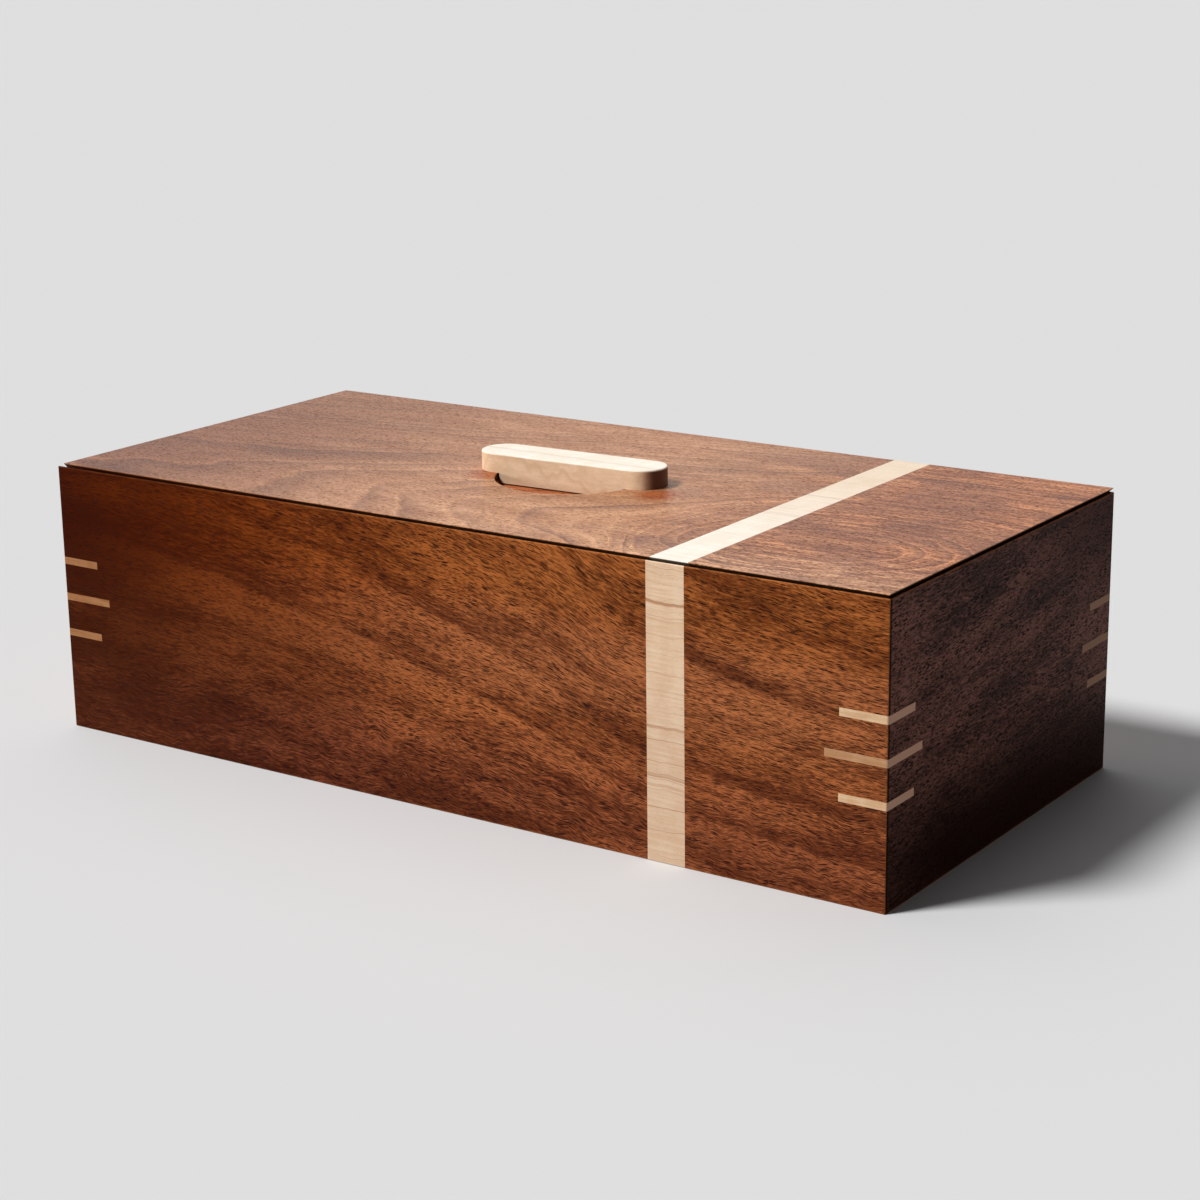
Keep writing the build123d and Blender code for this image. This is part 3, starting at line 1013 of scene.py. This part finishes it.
wall_maple = {
    "seed": 13.0,
    "period": 6.8,
    "depth": 0.75,
    "specular": 0.03,
    "Pale_Color": (0.88, 0.65, 0.45),
    "Warm_Color": (0.78, 0.53, 0.34),
}
lid_maple = {
    "seed": 41.0,
    "period": 12.0,
    "depth": 0.3,
    "specular": 0.5,
    "Pale_Color": (0.92, 0.84, 0.74),
    "Warm_Color": (0.84, 0.74, 0.61),
}
wall_band = maple_piece("maple_wall_band", "level", recolor=darker_band_foot, **wall_maple)
lid_band = maple_piece("maple_lid_band", "flat", recolor=lid_joint, **lid_maple)
dress(wall_band, "front_band", "back_band")
dress(lid_band, "lid_band")

# %% [markdown]
# ## The handle
#
# The handle is pushed and pulled every day, and fingers have oiled its sides in patches. Its top
# stays pale, while the sides are painted darker and warmer, as painted shade and warm bounce
# light, and the right end is painted nearly black, as painted shade.

# %% Handle
handle_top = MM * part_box("handle")[1].z
handle_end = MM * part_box("handle")[1].x
SIDE_SHADE = (0.86, 0.70, 0.55)
OILED_PATCH = (0.60, 0.40, 0.24, 1.0)
SHADED_END = (0.070, 0.014, 0.004, 1.0)


def shade_and_oil_sides(wiring, place, color):
    """Painted shade on the sides and a nearly black right end, oil patches on the sides; pale top.
    """
    x, _, z = wiring.parts(place)
    # Painted shade and warm bounce light: the sides darker and warmer than the top.
    share = wiring.smooth(z, handle_top - 0.2, handle_top - 1.0)
    sides = tint(wiring, share, color, SIDE_SHADE)
    patches = wiring.stretched_noise(place, (0.10, 0.16, 0.22), 2.0, 0.6)
    patches = wiring.times(wiring.smooth(patches, 0.42, 0.66, 0.0, 0.40), share)
    sides = wiring.mix(patches, sides, OILED_PATCH)
    # Painted shade: the right end of the handle nearly black.
    shaded_end = wiring.smooth(x, handle_end - 5.5, handle_end - 1.0, 0.0, 0.95)
    return wiring.mix(wiring.times(shaded_end, share), sides, SHADED_END)


pull_maple = {
    "seed": 77.0,
    "period": 14.0,
    "depth": 0.25,
    "specular": 0.15,
    "Pale_Color": (0.90, 0.83, 0.73),
    "Warm_Color": (0.84, 0.74, 0.61),
}
dress(maple_piece("maple_pull", "flat", recolor=shade_and_oil_sides, **pull_maple), "handle")

# %% [markdown]
# ## The corner keys
#
# Twelve slips of maple in saw cuts across the corners. The middle ones come from browner wood
# than the others, and those on the left are the darkest. Where keys come out on the right end
# they are lighter by the front corner and browner by the back one.

# %% Corner keys
key_low, key_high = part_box("key_front_right_middle")
key_middle = MM * (key_low.z + key_high.z) / 2
BROWN_KEY = (0.66, 0.50, 0.40)
LEFT_KEY = (0.78, 0.66, 0.56)
BACK_LEG = (0.56, 0.32, 0.23, 1.0)
FRONT_LEG = (0.98, 0.57, 0.40, 1.0)


def key_tones(wiring, place, color):
    """Brown middle keys, darker left ones, and legs of their own tone on the right end."""
    x, y, z = wiring.parts(place)
    left = wiring.smooth(x, -100.0, -150.0)
    off_middle = wiring.math("ABSOLUTE", wiring.minus(z, key_middle))
    brown = wiring.smooth(off_middle, 10.0, 5.0, 0.0, 0.8)
    brown = wiring.larger(brown, wiring.times(left, 0.8))
    color = tint(wiring, brown, color, BROWN_KEY)
    color = tint(wiring, left, color, LEFT_KEY)
    legs = wiring.smooth(x, RIGHT_FACE_MM - 0.6, RIGHT_FACE_MM - 0.3, 0.0, 0.9)
    leg_tone = wiring.mix(wiring.smooth(y, 60.0, -60.0), BACK_LEG, FRONT_LEG)
    return wiring.mix(legs, color, leg_tone)


key_maple = {
    "seed": 29.0,
    "period": 3.0,
    "depth": 0.35,
    "specular": 0.0,
    "Pale_Color": (0.80, 0.56, 0.35),
    "Warm_Color": (0.66, 0.40, 0.22),
}
keys = [name for name in nodes if name.startswith("key_")]
dress(maple_piece("maple_keys", "level", recolor=key_tones, **key_maple), *keys)

# %% [markdown]
# ## Brass screws
#
# Two small screws hold the handle from under the lid. Brass that nobody polishes is smudged: its
# colour and its gloss change together from place to place, so one soft noise drives both.

# %% Screws
DULL_BRASS = (0.62, 0.42, 0.16, 1.0)
CLEAN_BRASS = (0.78, 0.57, 0.26, 1.0)

brass_material, wiring = new_material("brass")
place = board_space(wiring)
smudge = wiring.noise(place, 0.6, 3.0, 0.6)
color = wiring.mix(wiring.smooth(smudge, 0.35, 0.65), DULL_BRASS, CLEAN_BRASS)
gloss = wiring.smooth(smudge, 0.3, 0.7, 0.25, 0.45)
brass = {"Base Color": color, "Metallic": 1.0, "Roughness": gloss}
shader = wiring.add("ShaderNodeBsdfPrincipled", brass)
wiring.add("ShaderNodeOutputMaterial", {0: shader.outputs[0]})
dress(brass_material, "handle_screws")

# %% [markdown]
# ## The floor
#
# The box stands on a sheet of pale paper that has no visible end. A square much larger than the
# box does it. The paper is pale for the eye but dark for light that bounces, because in a studio
# the floor's own light would lift all the shadows that give the box its weight.

# %% Floor
FLOOR_REACH_M = 60.0
PALE = 0.722
DIM = 0.12
floor_mesh = bpy.data.meshes.new("floor")
square = [(-1, -1), (1, -1), (1, 1), (-1, 1)]
corners = [(FLOOR_REACH_M * side_x, FLOOR_REACH_M * side_y, 0.0) for side_x, side_y in square]
floor_mesh.from_pydata(corners, [], [(0, 1, 2, 3)])
floor = bpy.data.objects.new("floor", floor_mesh)
bpy.context.scene.collection.objects.link(floor)


def seen_share(wiring):
    """One for rays that carry what the eye sees, directly or in a gloss; zero for bounced light."""
    path = wiring.add("ShaderNodeLightPath").outputs
    seen = wiring.larger(path["Is Camera Ray"], path["Is Glossy Ray"])
    return wiring.larger(seen, path["Is Transmission Ray"])


floor_material, wiring = new_material("paper_floor")
color = wiring.mix(seen_share(wiring), (DIM, DIM, DIM, 1.0), (PALE, PALE, PALE, 1.0))
shader = wiring.add("ShaderNodeBsdfDiffuse", {"Color": color})
wiring.add("ShaderNodeOutputMaterial", {0: shader.outputs[0]})
floor_mesh.materials.append(floor_material)
print("floor reaches", FLOOR_REACH_M, "m each way")

# %% [markdown]
# ## The room
#
# Beyond the paper everything is the same pale grey, which the eye and the gloss of the wood see.
# The light that really comes from there is weak, so that the shadows stay deep.

# %% World
AMBIENT = 0.038
BACKDROP = 0.737
world = bpy.data.worlds.new("studio")
bpy.context.scene.world = world
world.use_nodes = True
world.node_tree.nodes.clear()
wiring = Wiring(world.node_tree)
levels = {0: seen_share(wiring), 3: AMBIENT, 4: BACKDROP}
strength = wiring.add("ShaderNodeMapRange", levels).outputs[0]
backdrop = wiring.add("ShaderNodeBackground", {0: (1.0, 1.0, 1.0, 1.0), 1: strength})
wiring.add("ShaderNodeOutputWorld", {0: backdrop.outputs[0]})
print("backdrop", BACKDROP, "and ambient light", AMBIENT)

# %% [markdown]
# ## The lamps
#
# One lamp from the front left gives the form and throws the shadow to the back right. A very wide
# one overhead stands for the ceiling. Three weaker ones, low down, fill the sides, as white
# boards would. They reach the box alone, so that the floor keeps its shadow, and they make no
# highlights.


# %% Lamps
def sun(name, direction, energy, angle):
    """A sun whose light comes from the given direction, as wide as the given angle in degrees."""
    data = bpy.data.lights.new(name, "SUN")
    data.energy = energy
    data.angle = math.radians(angle)
    lamp = bpy.data.objects.new(name, data)
    lamp.rotation_mode = "QUATERNION"
    lamp.rotation_quaternion = Vector(direction).to_track_quat("Z", "Y")
    bpy.context.scene.collection.objects.link(lamp)
    return lamp


sun("key_light", (-0.504, -0.61, 1.0), energy=3.2, angle=13.5)
sun("sky_light", (-0.40, 0.30, 0.87), energy=0.66, angle=60.0)

fills = [
    sun("front_fill", (-0.75, -0.62, 0.12), energy=1.5, angle=15.0),
    sun("back_fill", (-0.5, 0.85, 0.12), energy=1.5, angle=50.0),
    sun("right_fill", (1.0, 0.0, 0.04), energy=0.62, angle=25.0),
]
box_alone = bpy.data.collections.new("lit_by_the_fill_lamps")
for cad_object in nodes.values():
    box_alone.objects.link(cad_object)
for lamp in fills:
    lamp.visible_glossy = False
    lamp.light_linking.receiver_collection = box_alone
print("lamps:", len(bpy.data.lights), "of which fills:", len(fills))

# %% [markdown]
# ## Plain tones
#
# Blender's usual view softens bright tones, as film does. The Standard view shows the colours as
# they are, so the paper comes out as the grey that it was given.

# %% View
bpy.context.scene.view_settings.view_transform = "Standard"
print("view:", bpy.context.scene.view_settings.view_transform)

# %% [markdown]
# ## Finish
#
# Dressing must not change the size.
